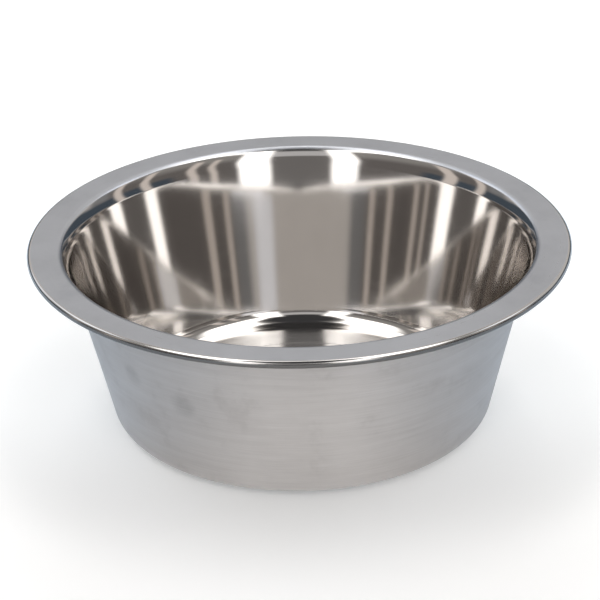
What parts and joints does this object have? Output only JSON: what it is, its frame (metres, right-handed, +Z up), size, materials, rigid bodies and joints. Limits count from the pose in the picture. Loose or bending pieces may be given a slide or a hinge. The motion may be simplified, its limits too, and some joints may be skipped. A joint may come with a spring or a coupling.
{
  "type": "dog bowl",
  "caption": "Round stainless feeding bowl for a dog, with a leaning wall, a flat flange with a rolled edge and an anti-slip ring under its floor.",
  "frame": {"origin": "on the bowl's axis, on the surface that it stands on", "axes": "+Z up along the bowl's axis, out of its mouth; the bowl is round, so X and Y are free"},
  "size_m": [0.21, 0.21, 0.073],
  "materials": {
    "stainless": "polished inside, satin on the flange and outside",
    "rubber": "matt moulded"
  },
  "bodies": {
    "root": {"bowl_shell": "stainless", "anti_slip_ring": "rubber"}
  },
  "joints": []
}
